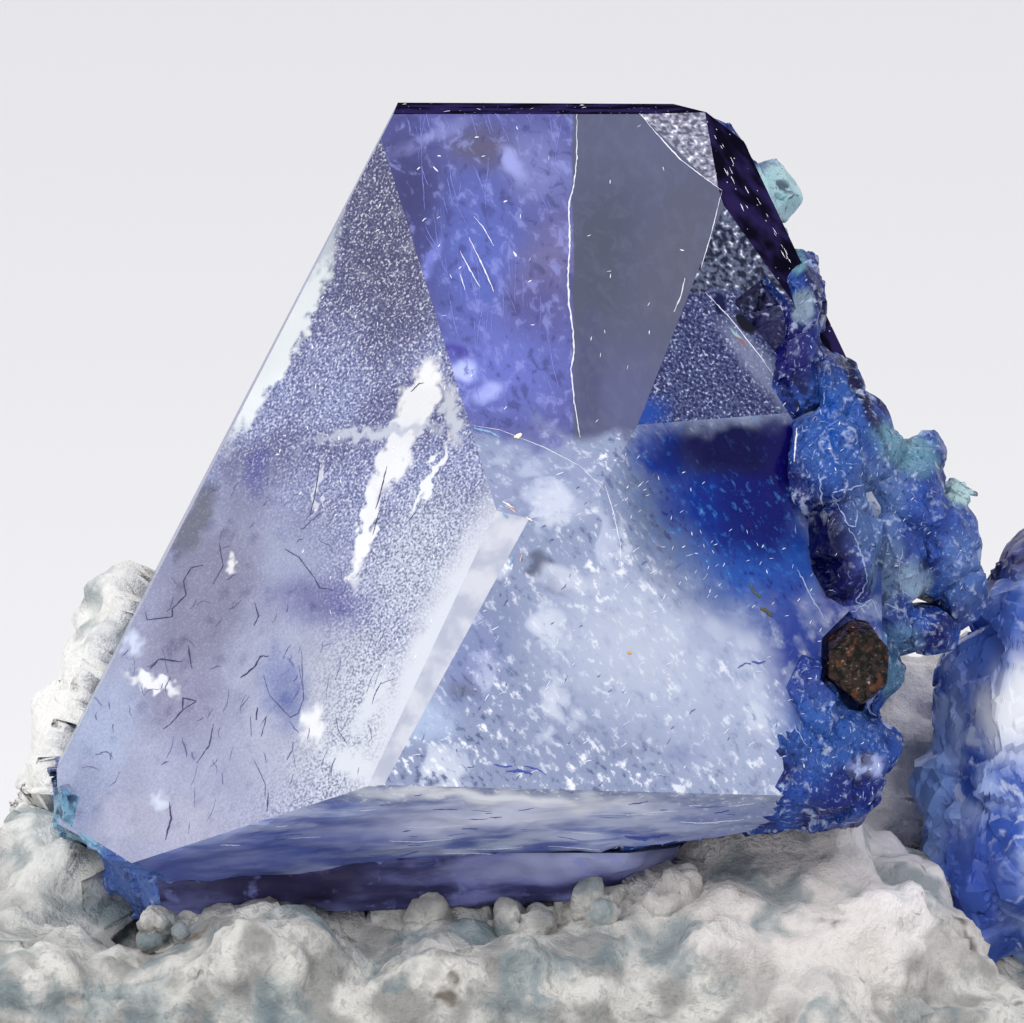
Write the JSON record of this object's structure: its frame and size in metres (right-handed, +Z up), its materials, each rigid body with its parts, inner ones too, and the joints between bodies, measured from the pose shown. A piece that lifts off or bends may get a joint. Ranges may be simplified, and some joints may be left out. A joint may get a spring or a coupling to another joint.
{
  "type": "benitoite specimen on matrix",
  "caption": "Blue-violet three-sided benitoite crystal with a flat top, a smaller benitoite and a brown-black neptunite, standing on lumpy white rock cut flat underneath.",
  "frame": {"origin": "centre of the flat cut foot, at the middle of the specimen's width and depth", "axes": "+Z up, +X to the right as seen from the front, +Y to the back"},
  "size_m": [0.027, 0.015, 0.0181],
  "materials": {
    "benitoite": "clear to icy blue-violet crystal, glossy on some faces and frosted on others",
    "side_benitoite": "see-through deep blue crystal with white clouds",
    "neptunite": "granular brown-black crystal with small glossy facets",
    "matrix": "dull white lumpy rock with blue-green and rusty stains"
  },
  "bodies": {
    "root": {"benitoite_crystal": "benitoite", "side_crystal": "side_benitoite", "neptunite_crystal": "neptunite", "matrix": "matrix"}
  },
  "joints": []
}
